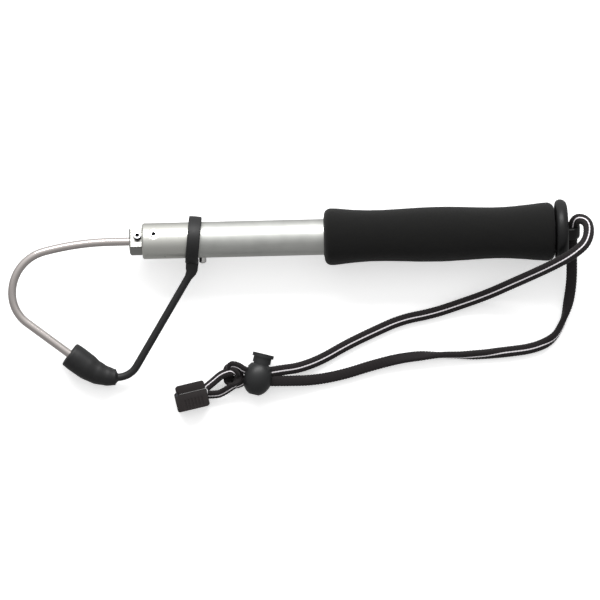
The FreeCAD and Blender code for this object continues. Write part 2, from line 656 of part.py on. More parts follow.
def cord_path(points):
    """Straight runs joined by arcs, each as large as its share of the shorter run allows."""
    knots = [Vector(*point) for point in points]
    edges = []
    here = knots[0]
    length = 0.0
    radii = []
    for before, corner, after in zip(knots, knots[1:], knots[2:]):
        back = before - corner
        ahead = after - corner
        turn = math.pi - back.getAngle(ahead)
        reach = ARC_REACH * min(back.Length, ahead.Length)
        radius = reach / math.tan(turn / 2)
        start = corner + back * (reach / back.Length)
        end = corner + ahead * (reach / ahead.Length)
        inward = (start + end) * 0.5 - corner
        middle = corner + inward * ((radius / math.cos(turn / 2) - radius) / inward.Length)
        edges.append(Part.LineSegment(here, start).toShape())
        edges.append(Part.Arc(start, middle, end).toShape())
        length += (start - here).Length + radius * turn
        radii.append(radius)
        here = end
    edges.append(Part.LineSegment(here, knots[-1]).toShape())
    length += (knots[-1] - here).Length
    return Part.Wire(edges), length, radii


def tube_along(path, radius):
    """A round solid along a wire."""
    first = path.Edges[0]
    section = Part.Circle(first.Vertexes[0].Point, first.tangentAt(first.FirstParameter), radius)
    return path.makePipeShell([Part.Wire([section.toShape()])], True, False)


def make_cord(label, points):
    """One round tube along a hand-laid route; its volume is checked against section times length."""
    path, length, radii = cord_path(points)
    radius = SIZES["cord_d"] / 2
    tube = tube_along(path, radius)
    expected = math.pi * radius * radius * length
    if abs(tube.Volume - expected) > expected / 100:
        raise ValueError(label + " has the wrong volume")
    print(label, "length", round(length, 1), "radii", [round(bend, 1) for bend in radii])
    cord = doc.addObject("Part::Feature", label + "_tube")
    cord.Shape = tube
    finish(cord, label)


def in_lock(u=0.0, v=0.0, w=0.0):
    """A point of the cord lock: u along the cord's hole, v along the plunger, w up."""
    centre = Vector(SIZES["lock_x"], SIZES["lock_y"], SIZES["lock_r"] - SIZES["flange_r"])
    return centre + Rotation(Z_AXIS, SIZES["lock_turn"]).multVec(Vector(u, v, w))


def lock_box(name, u_half, v_low, v_high, thick):
    box = doc.addObject("Part::Box", name)
    bind(box, Length=u_half * 2, Width=v_high - v_low, Height=thick)
    corner = in_lock(-number(u_half), number(v_low), -number(thick) / 2)
    box.Placement = Placement(corner, Rotation(Z_AXIS, SIZES["lock_turn"]))
    return box


def lock_direction():
    return in_lock(v=1.0) - in_lock()


def make_cord_lock_body():
    """Egg-shaped lock body with a blind bore for the plunger and a flat slot for both strands."""
    half = SIZES["lock_long"] / 2
    egg = doc.addObject("Part::Ellipsoid", "lock_egg")
    trim = size_of("egg_trim")
    bind(egg, Radius1=size_of("lock_long") / 2 + trim, Radius2=size_of("lock_r"), Radius3=size_of("lock_r"))
    egg.Placement = along(in_lock(), lock_direction())
    blank = cylinder("lock_blank", size_of("lock_long"), size_of("lock_long") - trim,
                     along(in_lock(v=-half), lock_direction()))
    rounded = boolean("Part::Common", "lock_rounded", egg, blank)
    bore = cylinder("lock_bore", size_of("lock_bore_d") / 2, size_of("lock_long"),
                    along(in_lock(v=SIZES["lock_floor"]), lock_direction()))
    slot = lock_box("lock_slot", size_of("slot_half"), size_of("slot_low"), size_of("slot_high"),
                    size_of("slot_thick"))
    well = cylinder("lock_spring_well", size_of("well_d") / 2, size_of("lock_long") / 2,
                    along(in_lock(v=SIZES["well_floor"]), lock_direction()))
    drilled = boolean("Part::Cut", "lock_drilled", rounded, bore)
    welled = boolean("Part::Cut", "lock_welled", drilled, well)
    finish(boolean("Part::Cut", "lock_slotted", welled, slot), "cord_lock_body")


def make_cord_lock_plunger():
    """Plunger with a wider button on top; its cross hole pins the strands against the body's slot."""
    foot, base, top = size_of("plunger_foot"), size_of("plunger_cap_base"), size_of("plunger_top")
    stem = cylinder("plunger_stem", size_of("plunger_d") / 2, (base + top) / 2 - foot,
                    along(in_lock(v=foot.value), lock_direction()))
    button = cylinder("plunger_button", size_of("plunger_cap_d") / 2, top - base,
                      along(in_lock(v=base.value), lock_direction()))
    joined = boolean("Part::Fuse", "plunger_joined", stem, button)
    cross = lock_box("plunger_cross_hole", size_of("slot_half"), size_of("cross_low"), size_of("cross_high"),
                     size_of("slot_thick"))
    finish(boolean("Part::Cut", "plunger_cut", joined, cross), "cord_lock_plunger")


def make_cord_lock_spring():
    """Compression spring of round wire between the bottom of the well and the plunger's foot."""
    wire_r, coil_r, coils = SIZES["spring_wire_d"] / 2, SIZES["spring_coil_r"], SIZES["spring_coils"]
    floor = SIZES["well_floor"] + wire_r * 2
    height = SIZES["plunger_foot"] - wire_r * 2 - floor
    corners = round(coils * SIZES["corners_per_coil"])
    points = []
    for corner in range(corners + 1):
        angle = 2 * math.pi * corner / SIZES["corners_per_coil"]
        points.append((coil_r * math.cos(angle), coil_r * math.sin(angle), height * corner / corners))
    coil = doc.addObject("Part::Feature", "spring_coil")
    coil.Shape = tube_along(cord_path(points)[0], wire_r)
    coil.Placement = along(in_lock(v=floor), lock_direction())
    finish(coil, "cord_lock_spring")


def make_cord_in_lock():
    """Both strands squeezed flat where the plunger pins them."""
    pinched = lock_box("pinched_cord", size_of("pinch_half"), size_of("pinch_low"), size_of("pinch_high"),
                       size_of("pinch_thick"))
    finish(pinched, "cord_in_lock")


def make_cord_knot():
    """Overall shape of the stopper knot that both strands make behind the lock."""
    knot = doc.addObject("Part::Ellipsoid", "knot_shape")
    bind(knot, Radius1=size_of("knot_half_z"), Radius2=size_of("knot_half_x"), Radius3=size_of("knot_half_y"))
    height = SIZES["knot_half_z"] - SIZES["flange_r"]
    knot.Placement = Placement(Vector(SIZES["knot_x"], SIZES["knot_y"], height), Rotation())
    finish(knot, "cord_knot")


# ---------------------------------------------------------------- cord end
def end_place(u, v):
    """A placement in the cord end: u along it, v towards its lid, z on the resting surface."""
    turn = Rotation(Z_AXIS, SIZES["end_turn"])
    centre = Vector(SIZES["end_x"], SIZES["end_y"], -SIZES["flange_r"])
    return Placement(centre + turn.multVec(Vector(u, v, 0)), turn)


def rounded_box(name, length, width, u, v):
    box = doc.addObject("Part::Box", name)
    bind(box, Length=length, Width=width, Height=size_of("end_tall"))
    box.Placement = end_place(u, v)
    doc.recompute()
    return box


def with_round_corners(name, box, keep):
    """Round the upright edges of a box that keep accepts."""
    chosen = []
    for index, edge in enumerate(box.Shape.Edges, start=1):
        upright = abs(edge.tangentAt(edge.FirstParameter).z) > 0.9
        local = box.Placement.inverse().multVec(edge.CenterOfMass)
        if upright and keep(local):
            chosen.append((index, SIZES["end_round"], SIZES["end_round"]))
    fillet = doc.addObject("Part::Fillet", name)
    fillet.Base = box
    fillet.Edges = chosen
    doc.recompute()
    return fillet


def make_cord_end():
    """Two-part cord end: a deep body and a lid that snaps over both tails, hinged on a pin."""
    half = SIZES["end_long"] / 2
    body_wide, lid_wide, gap = SIZES["end_body_wide"], SIZES["end_lid_wide"], SIZES["end_seam_gap"]
    low = -(body_wide + lid_wide + gap) / 2
    seam = low + body_wide
    tall, long, play = SIZES["end_tall"], SIZES["knuckle_long"], SIZES["knuckle_play"]
    knuckle_r, room_r = size_of("knuckle_r"), size_of("knuckle_r") + size_of("knuckle_gap")
    pin_at = end_place(-half + knuckle_r.value, seam + gap / 2).Base

    def at_pin(name, radius, low_z, high_z):
        return cylinder(name, radius, high_z - low_z, Placement(pin_at + Vector(0, 0, low_z), Rotation()))

    box = rounded_box("end_body_box", size_of("end_long"), size_of("end_body_wide"), -half, low)
    body = with_round_corners("end_body_round", box, lambda at: at.y < body_wide / 2)
    lid_long = size_of("end_long") - size_of("knuckle_r") - size_of("lid_relief")
    box = rounded_box("end_lid_box", lid_long, size_of("end_lid_wide"), -half + knuckle_r.value, seam + gap)
    lid = with_round_corners("end_lid_round", box, lambda at: at.y > lid_wide / 2)

    body = boolean("Part::Cut", "end_body_relieved", body,
                   at_pin("end_middle_room", room_r, long, tall - long))
    for name, low_z, high_z in (("low", 0.0, long), ("high", tall - long, tall)):
        room = at_pin("end_room_" + name, room_r, low_z - play, high_z + play)
        lid = boolean("Part::Cut", "end_lid_relieved_" + name, lid, room)
        knuckle = at_pin("end_knuckle_" + name, knuckle_r, low_z, high_z)
        body = boolean("Part::Fuse", "end_body_knuckle_" + name, body, knuckle)
    knuckle = at_pin("end_lid_knuckle", knuckle_r, long + play, tall - long - play)
    lid = boolean("Part::Fuse", "end_lid_joined", lid, knuckle)

    pin_r = size_of("end_pin_d") / 2
    body_hole = at_pin("end_body_hole", pin_r, -tall, tall * 2)
    lid_hole = at_pin("end_lid_hole", pin_r + size_of("running_gap"), -tall, tall * 2)
    finish(boolean("Part::Cut", "end_body_cut", body, body_hole), "cord_end_body")
    finish(boolean("Part::Cut", "end_lid_cut", lid, lid_hole), "cord_end_lid")
    finish(at_pin("end_pin", pin_r, play, tall - play), "cord_end_pin")


# ---------------------------------------------------------------- build
make_outer_tube()
make_mouth_bush()
make_inner_tube()
make_back_bush()
make_front_collar()
make_hook_block()
make_screw("hook_clamp_screw", "clamp_screw_x", size_of("clamp_screw_d"), size_of("clamp_screw_top"),
           size_of("rod_d") / 2 + size_of("running_gap"))
make_screw("collar_screw", "collar_screw_x", size_of("collar_screw_d"), size_of("collar_screw_top"),
           size_of("screw_foot"))
make_hook()
stowed_head_r = size_of("button_head_r") - (size_of("button_tip_r") - size_of("stowed_tip_r"))
stowed_x = size_of("button_x") + size_of("slide_travel")
make_button("front_snap_button", size_of("button_x"), size_of("button_tip_r"))
make_button("back_snap_button", stowed_x, size_of("stowed_tip_r"))
make_button_spring("front_button_spring", size_of("button_x"), size_of("button_head_r"))
make_button_spring("back_button_spring", stowed_x - size_of("stowed_spring_back"), stowed_head_r)
make_guard_ring()
make_guard_strap()
make_guard_cap()
make_foam_grip()
make_end_cap()
make_cord("cord_upper", STRAND_UPPER)
make_cord("cord_lower", STRAND_LOWER)
make_cord("cord_tail_upper", TAIL_UPPER)
make_cord("cord_tail_lower", TAIL_LOWER)
make_cord_in_lock()
make_cord_lock_body()
make_cord_lock_plunger()
make_cord_lock_spring()
make_cord_knot()
make_cord_end()
doc.recompute()

for thing in doc.Objects:
    if "Invalid" in thing.State or "Error" in thing.State:
        raise ValueError(thing.Name + " did not recompute")
os.makedirs("parts", exist_ok=True)
for label, thing in pieces.items():
    shape = thing.Shape
    if shape.isNull() or not shape.isValid() or not shape.Solids or shape.Volume <= 0:
        raise ValueError(label + " is not a valid solid")
    shape.exportStep("parts/" + label + ".step")
    box = shape.BoundBox
    print(f"{label:20s} {shape.Volume / 1000:8.3f} cm3 x {box.XMin:7.1f} {box.XMax:7.1f}"
          f" y {box.YMin:7.1f} {box.YMax:7.1f} z {box.ZMin:7.2f} {box.ZMax:7.2f}")
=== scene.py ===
"""Telescopic gaff: how each piece is made and finished, in the order that the gaff goes together."""
import math

import bmesh
import bpy
from mathutils import Matrix, Vector


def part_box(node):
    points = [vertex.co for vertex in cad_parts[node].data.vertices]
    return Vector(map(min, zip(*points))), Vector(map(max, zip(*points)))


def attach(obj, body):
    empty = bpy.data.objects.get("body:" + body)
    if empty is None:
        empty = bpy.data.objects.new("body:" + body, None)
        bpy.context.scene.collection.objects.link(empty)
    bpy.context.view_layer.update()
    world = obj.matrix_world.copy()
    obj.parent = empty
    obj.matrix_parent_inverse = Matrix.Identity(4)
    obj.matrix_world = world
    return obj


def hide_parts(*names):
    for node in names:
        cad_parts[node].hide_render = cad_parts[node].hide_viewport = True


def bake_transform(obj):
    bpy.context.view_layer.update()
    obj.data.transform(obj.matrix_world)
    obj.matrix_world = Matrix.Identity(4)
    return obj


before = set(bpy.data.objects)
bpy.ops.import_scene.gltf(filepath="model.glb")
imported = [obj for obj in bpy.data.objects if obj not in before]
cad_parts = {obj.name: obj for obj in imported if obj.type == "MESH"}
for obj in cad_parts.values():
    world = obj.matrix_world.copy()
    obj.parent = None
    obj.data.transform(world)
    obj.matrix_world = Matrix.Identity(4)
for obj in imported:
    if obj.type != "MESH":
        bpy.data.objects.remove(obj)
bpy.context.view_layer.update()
scene = bpy.context.scene
MM = 0.001


# ------------------------------------------------------------------ outer tube
# Outer section of the pole: 22 mm drawn alloy tube, clear anodised after a fine brushing along its length.
# The oxide gives a pale satin grey whose highlight is drawn out along the tube, with faint drawing lines.

def linear(hex_colour):
    """An sRGB hex colour as linear RGBA."""
    parts = [int(hex_colour[i:i + 2], 16) / 255 for i in (1, 3, 5)]
    return [p / 12.92 if p <= 0.04045 else ((p + 0.055) / 1.055) ** 2.4 for p in parts] + [1.0]


RGBA = {"data_type": "RGBA"}


def node(tree, kind, settings=None, out=0, into=None, **inputs):
    """Add one node with its settings, values and links, and give back one output, linked into a socket if
    asked. An input is named as in Blender, with _ for a space, or _ and its number where names repeat."""
    made = tree.nodes.new("ShaderNode" + kind)
    for name, value in (settings or {}).items():
        setattr(made, name, value)
    for name, value in inputs.items():
        key = int(name[1:]) if name[0] == "_" else name.replace("_", " ")
        if isinstance(value, bpy.types.NodeSocket):
            tree.links.new(value, made.inputs[key])
        else:
            made.inputs[key].default_value = value
    if into:
        tree.links.new(made.outputs[out], into)
    return made.outputs[out]


def finish_of(name, colour, rough, metal=0.0, **shader_values):
    """A material with one principled shader; returns the material, its tree and the shader."""
    made = bpy.data.materials.new(name)
    made.use_nodes = True
    tree = made.node_tree
    shader = tree.nodes["Principled BSDF"]
    shader.inputs["Base Color"].default_value = linear(colour)
    shader.inputs["Roughness"].default_value = rough
    shader.inputs["Metallic"].default_value = metal
    for key, value in shader_values.items():
        shader.inputs[key.replace("_", " ")].default_value = value
    return made, tree, shader


def anodised_alloy(name, pale, deep, line_mm):
    """Satin clear-anodised alloy with drawing lines along the pole."""
    made, tree, shader = finish_of(name, pale, 0.34, 1.0)
    spot = node(tree, "TexCoord", out="Object")
    drawn = node(tree, "Mapping", Vector=spot, Scale=(0.012, 1, 1))
    lines = node(tree, "TexNoise", Vector=drawn, Scale=1 / (line_mm * MM), Detail=2.0)
    cloud = node(tree, "TexNoise", Vector=spot, Scale=1 / (9.0 * MM), Detail=4.0)
    both = node(tree, "Math", {"operation": "MULTIPLY_ADD"}, _0=lines, _1=0.6, _2=cloud)
    depth = node(tree, "MapRange", _0=both, _3=-0.25, _4=1.1)
    node(tree, "Mix", RGBA, out=2, into=shader.inputs["Base Color"], _0=depth, _6=linear(deep),
         _7=linear(pale))
    node(tree, "MapRange", into=shader.inputs["Roughness"], _0=both, _3=0.34, _4=0.46)
    node(tree, "Bump", into=shader.inputs["Normal"], Height=lines, Distance=0.004 * MM, Strength=1.0)
    return made


def dress(name, material):
    """Give a CAD node its finish."""
    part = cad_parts[name]
    part.data.materials.clear()
    part.data.materials.append(material)


anodised = anodised_alloy("anodised aluminium, brushed", "#d6d7d3", "#c2c3bf", 0.35)
dress("outer_tube", anodised)


# ------------------------------------------------------------------ guides
# Two acetal bushes, one pressed in the outer tube's mouth and one on the inner tube's back end.
# Moulded milky white with a soft sheen; only their edges show when the pole is extended.

acetal, tree, shader = finish_of("acetal, moulded", "#dcdad2", 0.42, Coat_Weight=0.1)
spot = node(tree, "TexCoord", out="Object")
flow = node(tree, "TexNoise", Vector=spot, Scale=1 / (0.8 * MM), Detail=3.0)
node(tree, "Bump", into=shader.inputs["Normal"], Height=flow, Distance=0.01 * MM, Strength=1.0)
dress("mouth_bush", acetal)
dress("inner_back_bush", acetal)


# ------------------------------------------------------------------ inner tube
# Inner section: 18 mm tube of the same alloy, anodised and rubbed bright where it slides in the guides.
# The sliding leaves finer, closer lines along it than on the outer tube.

rubbed_alloy = anodised_alloy("anodised aluminium, rubbed by sliding", "#d2d3d0", "#bcbdb9", 0.22)
dress("inner_tube", rubbed_alloy)


# ------------------------------------------------------------------ collar
# Alloy collar on the inner section's front end, turned and beveled, then clear anodised like the tubes.
# It handles most of the knocks, so tiny grey nicks and stains lie on its satin.

collar, tree, shader = finish_of("anodised aluminium, turned", "#c2c2bb", 0.38, 1.0)
spot = node(tree, "TexCoord", out="Object")
turned = node(tree, "Mapping", Vector=spot, Scale=(1, 0.05, 0.05))
rings = node(tree, "TexNoise", Vector=turned, Scale=1 / (0.4 * MM), Detail=2.0)
stains = node(tree, "TexNoise", Vector=spot, Scale=1 / (2.2 * MM), Detail=6.0, Roughness=0.7)
nicks = node(tree, "MapRange", _0=stains, _1=0.62, _2=0.72)
node(tree, "Mix", RGBA, out=2, into=shader.inputs["Base Color"], _0=nicks, _6=linear("#dcdcd6"),
     _7=linear("#a19f98"))
node(tree, "MapRange", into=shader.inputs["Roughness"], _0=rings, _3=0.30, _4=0.46)
node(tree, "Bump", into=shader.inputs["Normal"], Height=rings, Distance=0.006 * MM, Strength=1.0)
dress("front_collar", collar)


# ------------------------------------------------------------------ hook block
# Square alloy block with a round spigot in the inner tube, milled from bar and left as cut.
# Cutter marks cross its flats, and its bare metal is darker and duller than the anodised pieces.

milled, tree, shader = finish_of("aluminium, milled", "#a3a39f", 0.42, 1.0)
spot = node(tree, "TexCoord", out="Object")
cuts = node(tree, "TexWave", {"wave_type": "RINGS", "rings_direction": "X"}, out="Fac", Vector=spot,
            Scale=1 / (2.4 * MM), Distortion=0.6, Detail=2.0)
node(tree, "MapRange", into=shader.inputs["Roughness"], _0=cuts, _3=0.36, _4=0.48)
node(tree, "Bump", into=shader.inputs["Normal"], Height=cuts, Distance=0.006 * MM, Strength=1.0)
dress("hook_block", milled)


# ------------------------------------------------------------------ screws
# Two hexagon-socket set screws of hardened steel, zinc plated: one clamps the hook, one holds the collar.
# The plating is bright and slightly uneven; the shade inside the sockets and round the faces is painted into
# its colour as near black.

for screw in ("hook_clamp_screw", "collar_screw"):
    zinc, tree, shader = finish_of("steel, zinc plated, " + screw, "#c6c7c8", 0.24, 1.0)
    spot = node(tree, "TexCoord", out="Object")
    spots = node(tree, "TexNoise", Vector=spot, Scale=1 / (0.7 * MM), Detail=4.0, Roughness=0.6)
    plated = node(tree, "Mix", RGBA, out=2, _0=spots, _6=linear("#9a9c9e"), _7=linear("#d6d7d8"))
    points = [v.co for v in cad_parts[screw].data.vertices]
    centre = sum(points, Vector()) / len(points)
    axis = Vector((0, centre.y, centre.z)).normalized()

    # Painted shade: everything from 0.5 mm below the face, down inside the socket, is coloured near black.
    face_r = max(math.hypot(p.y, p.z) for p in points)
    across_pole = node(tree, "VectorMath", {"operation": "MULTIPLY"}, _0=spot, _1=(0, 1, 1))
    from_pole = node(tree, "VectorMath", {"operation": "LENGTH"}, out="Value", _0=across_pole)
    deep = node(tree, "MapRange", _0=from_pole, _1=face_r - 0.5 * MM, _2=face_r - 0.25 * MM, _3=1.0, _4=0.0)

    # A painted shadow too: the thread's end round the face is coloured dark for the shadow of its hole.
    rim_r = max((p - centre).cross(axis).length for p in points)
    offset = node(tree, "VectorMath", {"operation": "SUBTRACT"}, _0=spot, _1=centre)
    crossed = node(tree, "VectorMath", {"operation": "CROSS_PRODUCT"}, _0=offset, _1=axis)
    from_axis = node(tree, "VectorMath", {"operation": "LENGTH"}, out="Value", _0=crossed)
    rim = node(tree, "MapRange", _0=from_axis, _1=rim_r * 0.80, _2=rim_r * 0.88)

    # Both painted shades turn the plating to near black #1b1c1d.
    dark = node(tree, "Math", {"operation": "MAXIMUM"}, _0=deep, _1=rim)
    node(tree, "Mix", RGBA, out=2, into=shader.inputs["Base Color"], _0=dark, _6=plated, _7=linear("#1b1c1d"))
    node(tree, "MapRange", into=shader.inputs["Roughness"], _0=spots, _3=0.16, _4=0.34)
    dress(screw, zinc)


# ------------------------------------------------------------------ snap buttons
# Two domed stainless buttons on V springs of blued strip inside the inner tube; the front one locks it.
# The domes are polished by the thumb, the strip keeps its dark blue-grey temper colour.

button_steel, tree, shader = finish_of("stainless steel, polished by use", "#d2d1cf", 0.16, 1.0)
spot = node(tree, "TexCoord", out="Object")
rubs = node(tree, "TexNoise", Vector=spot, Scale=1 / (0.5 * MM), Detail=3.0)
node(tree, "MapRange", into=shader.inputs["Roughness"], _0=rubs, _3=0.10, _4=0.24)

temper, tree, shader = finish_of("spring steel, blued", "#4b5058", 0.32, 1.0)
spot = node(tree, "TexCoord", out="Object")
heat = node(tree, "TexNoise", Vector=spot, Scale=1 / (3.0 * MM), Detail=3.0)
node(tree, "Mix", RGBA, out=2, into=shader.inputs["Base Color"], _0=heat, _6=linear("#3d4350"),
     _7=linear("#5d5c5a"))
for button in ("front_snap_button", "back_snap_button"):
    dress(button, button_steel)
for spring in ("front_button_spring", "back_button_spring", "cord_lock_spring"):
    dress(spring, temper)


# ------------------------------------------------------------------ hook
# 5 mm stainless rod, cold bent in three arcs and ground to a long needle point, then polished.
# The polish is nearly a mirror, with hair lines along the rod and rings round it on the ground point.

ROLL = math.radians(8.6)


def bent_line(start, heading, runs, step=0.5):
    """Points along straight runs (length,) and left-hand arcs (radius, degrees), in millimetres."""
    here, angle = Vector(start), math.radians(heading)
    found = [here.copy()]
    for run in runs:
        length = run[0] if len(run) == 1 else run[0] * math.radians(run[1])
        count = max(1, math.ceil(length / step))
        for _ in range(count):
            turn = 0 if len(run) == 1 else math.radians(run[1]) / count
            angle += turn / 2
            here = here + Vector((math.cos(angle), math.sin(angle), 0)) * (length / count)
            angle += turn / 2
            found.append(here.copy())
    return found


def piece_from(name, mesh, material):
    """Link a bmesh as a smooth shaded piece with one material."""
    bmesh.ops.recalc_face_normals(mesh, faces=mesh.faces)
    data = bpy.data.meshes.new(name)
    mesh.to_mesh(data)
    mesh.free()
    data.shade_smooth()
    made = bpy.data.objects.new(name, data)
    scene.collection.objects.link(made)
    data.materials.append(material)
    return made


def skin_rows(mesh, rows, lengths, uv_name):
    """Join rings of vertices into a closed skin whose UV map holds millimetres along and turns round."""
    uv = mesh.loops.layers.uv.new(uv_name)
    around = len(rows[0])
    for i, (low, high) in enumerate(zip(rows, rows[1:])):
        for k in range(around):
            quad = mesh.faces.new((low[k], low[(k + 1) % around], high[(k + 1) % around], high[k]))
            here, there = lengths[i], lengths[i + 1]
            corners = ((here, k), (here, k + 1), (there, k + 1), (there, k))
            for loop, (u, v) in zip(quad.loops, corners):
                loop[uv].uv = (u, v / around)
    mesh.faces.new(rows[0][::-1])
    mesh.faces.new(rows[-1])


def swept(name, line, halves, material, around):
    """A rod along a line in the hook's plane; halves gives its half width and half height at a length."""
    mesh = bmesh.new()
    rows, lengths, along = [], [], 0.0
    for index, centre in enumerate(line):
        along += (centre - line[max(index - 1, 0)]).length
        ahead = (line[min(index + 1, len(line) - 1)] - line[max(index - 1, 0)]).normalized()
        across = Vector((-ahead.y, ahead.x, 0))
        half_wide, half_high = halves(along)
        ring = []
        for k in range(around):
            angle = 2 * math.pi * k / around
            offset = across * (half_wide * math.cos(angle)) + Vector((0, 0, half_high * math.sin(angle)))
            ring.append(mesh.verts.new((centre + offset) * MM))
        rows.append(ring)
        lengths.append(along)
    skin_rows(mesh, rows, lengths, "rod")
    made = piece_from(name, mesh, material)
    made.data.transform(Matrix.Rotation(ROLL, 4, "X"))
    return made


def between(stops, at):
    """Value at a place, from (place, value) stops, eased from one to the next."""
    for (a, low), (b, high) in zip(stops, stops[1:]):
        if at <= b:
            t = (at - a) / (b - a)
            return low + (high - low) * t * t * (3 - 2 * t)
    return stops[-1][1]


ROD_R, POINT_LONG = 2.5, 14.0
hook_runs = [(33.6,), (169.4, 14.0), (26.7, 79.1), (22.7, 48.8), (38.65,)]
hook_line = bent_line((-60, 0, 0), 180, hook_runs)
last, ahead = hook_line[-1], (hook_line[-1] - hook_line[-2]).normalized()
POINT_STEPS = 28
hook_line += [last + ahead * (POINT_LONG * k / POINT_STEPS) for k in range(1, POINT_STEPS + 1)]
hook_long = sum((b - a).length for a, b in zip(hook_line, hook_line[1:]))


def rod_halves(along):
    """Full rod, then the straight taper of the ground point."""
    left = hook_long - along
    radius = ROD_R if left > POINT_LONG else max(0.12, ROD_R * left / POINT_LONG)
    return radius, radius


polished, tree, shader = finish_of("stainless steel, polished", "#c9c1bd", 0.13, 1.0)
on_rod = node(tree, "UVMap", {"uv_map": "rod"})
length_mm = node(tree, "SeparateXYZ", out="X", Vector=on_rod)
hair_map = node(tree, "Mapping", Vector=on_rod, Scale=(0.05, 90.0, 1.0))
hairs = node(tree, "TexNoise", {"noise_dimensions": "2D"}, Vector=hair_map, Scale=1.0, Detail=2.0)
rings = node(tree, "TexNoise", {"noise_dimensions": "1D"}, W=length_mm, Scale=3.2, Detail=2.0)
point_from = hook_long - POINT_LONG
on_point = node(tree, "MapRange", _0=length_mm, _1=point_from - 1, _2=point_from)
lines = node(tree, "Mix", _0=on_point, _2=hairs, _3=rings)
node(tree, "MapRange", into=shader.inputs["Roughness"], _0=lines, _3=0.07, _4=0.20)
node(tree, "Mix", RGBA, out=2, into=shader.inputs["Base Color"], _0=lines, _6=linear("#cdc4c0"),
     _7=linear("#e4dedb"))
node(tree, "Bump", into=shader.inputs["Normal"], Height=lines, Distance=0.004 * MM, Strength=0.6)

hook = swept("hook_rod", hook_line, rod_halves, polished, 48)
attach(hook, "front_section")
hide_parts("hook")


# ------------------------------------------------------------------ point guard
# One moulding in EPDM rubber: a ring round the pole, a strap, and a bent cap pushed over the point.
# The mould is lightly etched, so the black has a low satin sheen, and a dusting of grey bloom lies on it.

def moulded_black(name, colour, rough, specular, bloom, texture, shades, roughnesses):
    """Black rubber or plastic: bloom is (size in mm, detail, raggedness) of its clouding, and texture is
    (grain in mm, depth in mm, strength) of the mould's etched skin."""
    made, tree, shader = finish_of(name, colour, rough, Specular_IOR_Level=specular)
    spot = node(tree, "TexCoord", out="Object")
    cloud_mm, detail, ragged = bloom
    cloud = node(tree, "TexNoise", Vector=spot, Scale=1 / (cloud_mm * MM), Detail=detail, Roughness=ragged)
    dark, light = (linear(shade) for shade in shades)
    node(tree, "Mix", RGBA, out=2, into=shader.inputs["Base Color"], _0=cloud, _6=dark, _7=light)
    smooth, dull = roughnesses
    node(tree, "MapRange", into=shader.inputs["Roughness"], _0=cloud, _3=smooth, _4=dull)
    grain_mm, depth_mm, strength = texture
    grain = node(tree, "TexNoise", Vector=spot, Scale=1 / (grain_mm * MM), Detail=3.0)
    node(tree, "Bump", into=shader.inputs["Normal"], Height=grain, Distance=depth_mm * MM, Strength=strength)
    return made


epdm = moulded_black("EPDM rubber, moulded", "#2a2a2b", 0.52, 0.45, bloom=(2.0, 5.0, 0.65),
                     texture=(0.22, 0.02, 0.7), shades=("#101011", "#1f1f20"), roughnesses=(0.42, 0.62))


def changed(piece, kind, **settings):
    """Add a modifier and keep only its result."""
    modifier = piece.modifiers.new(kind.lower(), kind)
    for key, value in settings.items():
        setattr(modifier, key, value)
    graph = bpy.context.evaluated_depsgraph_get()
    applied = bpy.data.meshes.new_from_object(piece.evaluated_get(graph))
    piece.modifiers.clear()
    piece.data = applied


def cut(piece, tool, operation="DIFFERENCE"):
    """Boolean with another piece, which is then dropped."""
    changed(piece, "BOOLEAN", object=tool, operation=operation, solver="EXACT")
    bpy.data.objects.remove(tool)


def solid_rod(start, end, radius, material, around=64):
    """A plain cylinder between two points, in millimetres, as a tool for cutting."""
    mesh = bmesh.new()
    start, end = Vector(start) * MM, Vector(end) * MM
    turn = Vector((0, 0, 1)).rotation_difference(end - start).to_matrix().to_4x4()
    bmesh.ops.create_cone(mesh, cap_ends=True, segments=around, radius1=radius * MM, radius2=radius * MM,
                          depth=(end - start).length, matrix=Matrix.Translation((start + end) / 2) @ turn)
    return piece_from("tool", mesh, material)


def lathe(outline, around):
    """A closed skin turned about the pole axis from (x, radius) points, in millimetres."""
    mesh = bmesh.new()
    rows = []
    for x, radius in outline:
        ring = []
        for k in range(around):
            angle = 2 * math.pi * k / around
            y, z = radius * math.cos(angle), radius * math.sin(angle)
            ring.append(mesh.verts.new((x * MM, y * MM, z * MM)))
        rows.append(ring)
    rows.append(rows[0])
    for low, high in zip(rows, rows[1:]):
        for k in range(around):
            mesh.faces.new((low[k], low[(k + 1) % around], high[(k + 1) % around], high[k]))
    return mesh


# From the cap's mouth round its bend, then straight up the strap, and the tab that widens into the ring.
CAP_LONG, STRAP_R = 33.0, 2.3
guard_runs = [(14.32,), (30.6, 35.0), (13.8, 61.6), (64.6,)]
guard_line = bent_line((-120.77, -68.81, 0), -38.07, guard_runs)
strap_end = sum((b - a).length for a, b in zip(guard_line, guard_line[1:]))
TAB = [(-44.62, -20.1), (-44.2, -18.4), (-44.0, -16.6), (-43.8, -14.8), (-43.7, -13.2), (-43.6, -11.9)]
guard_line += [Vector((x, y, 0)) for x, y in TAB]
# Half width and half height at each length: they are one for the round cap and strap, and part at the tab.
cap_radii = [(0, 7.3), (0.5, 7.8), (1.2, 8.0), (5, 8.2), (12.5, 8.05), (20, 7.1), (27, 6.0),
             (CAP_LONG - 0.7, 5.0), (CAP_LONG + 0.2, 3.5), (CAP_LONG + 0.8, 2.35), (strap_end - 6, STRAP_R)]
half_widths = cap_radii + [(strap_end - 1, 2.35), (strap_end + 2.0, 3.1), (strap_end + 4.5, 3.75),
                           (strap_end + 9, 3.9)]
half_heights = cap_radii + [(strap_end + 9, 3.3)]


def guard_halves(along):
    """Half width and half height of the guard's section at a length from the cap's mouth."""
    return between(half_widths, along), between(half_heights, along)


guard = swept("point_guard_moulding", guard_line, guard_halves, epdm, 56)

